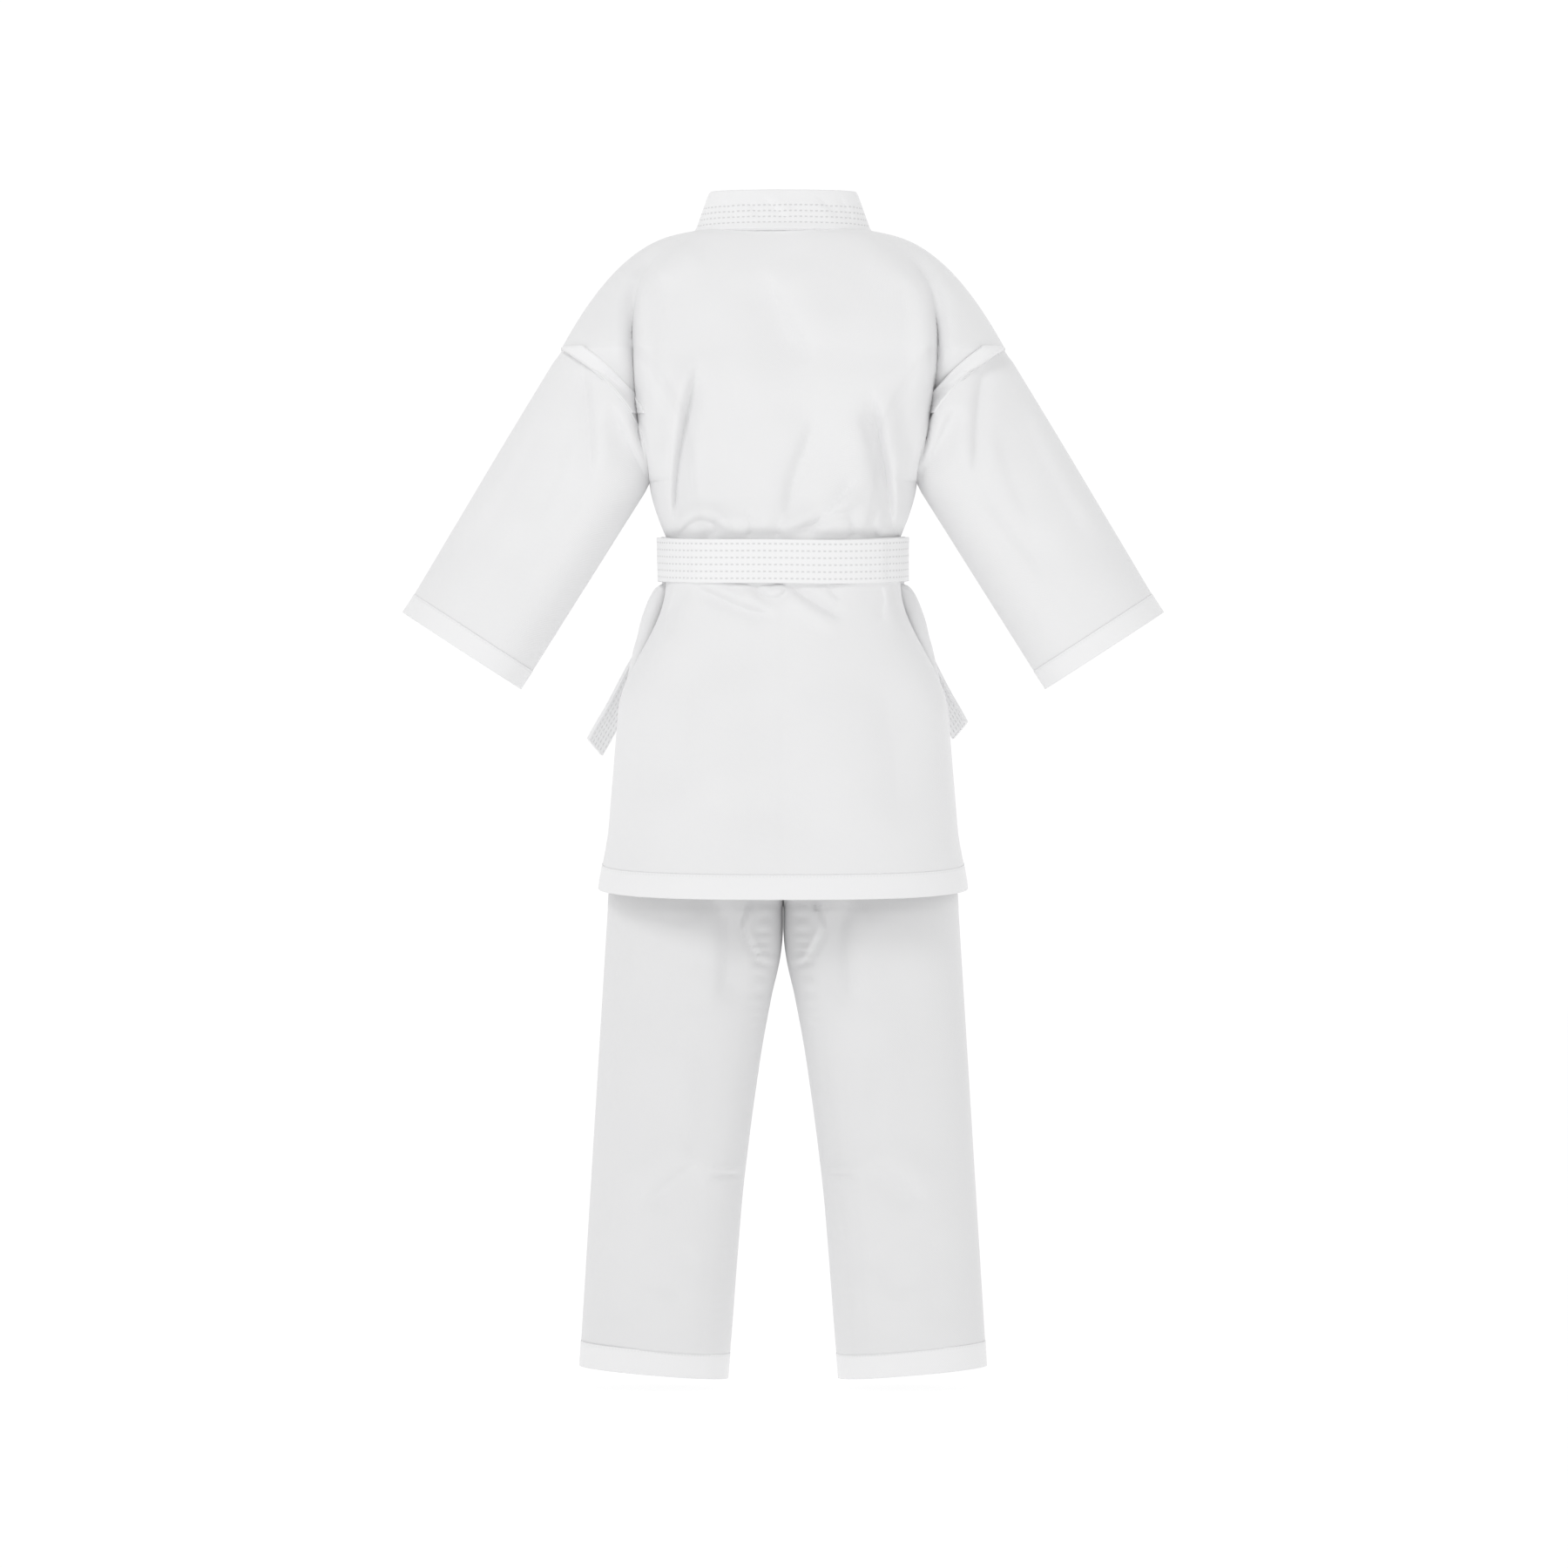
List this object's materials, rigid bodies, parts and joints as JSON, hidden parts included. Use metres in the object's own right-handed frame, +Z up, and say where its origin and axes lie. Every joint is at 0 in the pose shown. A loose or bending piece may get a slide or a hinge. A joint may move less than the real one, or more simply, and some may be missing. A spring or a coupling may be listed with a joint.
{
  "type": "martial arts uniform",
  "caption": "Child's white martial arts uniform: wrap jacket with wide sleeves, knotted belt with hanging ends and wide straight trousers, hanging as if worn.",
  "frame": {"origin": "middle of the neck opening, level with the foot of the collar at the shoulders, where the uniform hangs on its wearer", "axes": "+Z up, -Y to the wearer's front, +X to the wearer's left"},
  "size_m": [0.7346, 0.25, 1.1462],
  "materials": {
    "jacket_cloth": "matte cotton twill, single layer",
    "collar_band": "matte quilted cotton band with stitch rows",
    "hem_cloth": "matte cotton twill turned double and stitched",
    "seam_tape": "matte cotton tape over a felled seam",
    "belt_webbing": "matte stiff cotton belt with stitch rows",
    "trouser_cloth": "matte cotton twill, single layer",
    "elastic": "ribbed elastic"
  },
  "bodies": {
    "jacket": {"back_panel": "jacket_cloth", "left_front_panel": "jacket_cloth", "right_front_panel": "jacket_cloth", "collar_neck": "collar_band", "left_lapel": "collar_band", "right_lapel": "collar_band", "left_back_armhole_tape": "seam_tape", "right_back_armhole_tape": "seam_tape", "left_front_armhole_tape": "seam_tape", "right_front_armhole_tape": "seam_tape", "belt_inner_wrap": "belt_webbing", "belt_outer_wrap": "belt_webbing", "belt_knot": "belt_webbing", "waistband": "trouser_cloth", "waist_elastic": "elastic", "left_trouser_seat": "trouser_cloth", "right_trouser_seat": "trouser_cloth", "crotch_gusset": "trouser_cloth", "left_thigh_fold": "trouser_cloth", "right_thigh_fold": "trouser_cloth"},
    "left_sleeve_part": {"left_sleeve": "jacket_cloth", "left_sleeve_hem": "hem_cloth"},
    "right_sleeve_part": {"right_sleeve": "jacket_cloth", "right_sleeve_hem": "hem_cloth"},
    "back_skirt_part": {"back_skirt": "jacket_cloth", "back_skirt_hem": "hem_cloth"},
    "front_skirt_part": {"left_front_skirt": "jacket_cloth", "left_front_hem": "hem_cloth", "left_lapel_tail": "collar_band", "right_front_skirt": "jacket_cloth", "right_front_hem": "hem_cloth", "right_lapel_tail": "collar_band"},
    "left_belt_end": {"left_belt_tail": "belt_webbing"},
    "right_belt_end": {"right_belt_tail": "belt_webbing"},
    "left_leg_part": {"left_trouser_leg": "trouser_cloth", "left_leg_hem": "hem_cloth", "left_inseam_tape": "seam_tape"},
    "right_leg_part": {"right_trouser_leg": "trouser_cloth", "right_leg_hem": "hem_cloth", "right_inseam_tape": "seam_tape"}
  },
  "joints": [
    {"name": "left_sleeve_raise", "type": "hinge", "parent": "jacket", "child": "left_sleeve_part", "pos_m": [0.2135, 0, -0.1105], "axis": [0, -1, 0], "range_deg": [0, 40]},
    {"name": "right_sleeve_raise", "type": "hinge", "parent": "jacket", "child": "right_sleeve_part", "pos_m": [-0.2135, 0, -0.1105], "axis": [0, 1, 0], "range_deg": [0, 40]},
    {"name": "back_skirt_swing", "type": "hinge", "parent": "jacket", "child": "back_skirt_part", "pos_m": [0, 0.094, -0.319], "axis": [1, 0, 0], "range_deg": [0, 25]},
    {"name": "front_skirt_swing", "type": "hinge", "parent": "jacket", "child": "front_skirt_part", "pos_m": [0, -0.094, -0.319], "axis": [-1, 0, 0], "range_deg": [0, 25]},
    {"name": "left_belt_end_swing", "type": "hinge", "parent": "front_skirt_part", "child": "left_belt_end", "pos_m": [0.027, -0.111, -0.297], "axis": [-1, 0, 0], "range_deg": [0, 50]},
    {"name": "right_belt_end_swing", "type": "hinge", "parent": "front_skirt_part", "child": "right_belt_end", "pos_m": [-0.027, -0.111, -0.297], "axis": [-1, 0, 0], "range_deg": [0, 50]},
    {"name": "left_leg_swing", "type": "hinge", "parent": "jacket", "child": "left_leg_part", "pos_m": [0.087, 0, -0.671], "axis": [-1, 0, 0], "range_deg": [-20, 35], "deforming": ["left_thigh_fold"]},
    {"name": "right_leg_swing", "type": "hinge", "parent": "jacket", "child": "right_leg_part", "pos_m": [-0.087, 0, -0.671], "axis": [-1, 0, 0], "range_deg": [-20, 35], "deforming": ["right_thigh_fold"]}
  ]
}
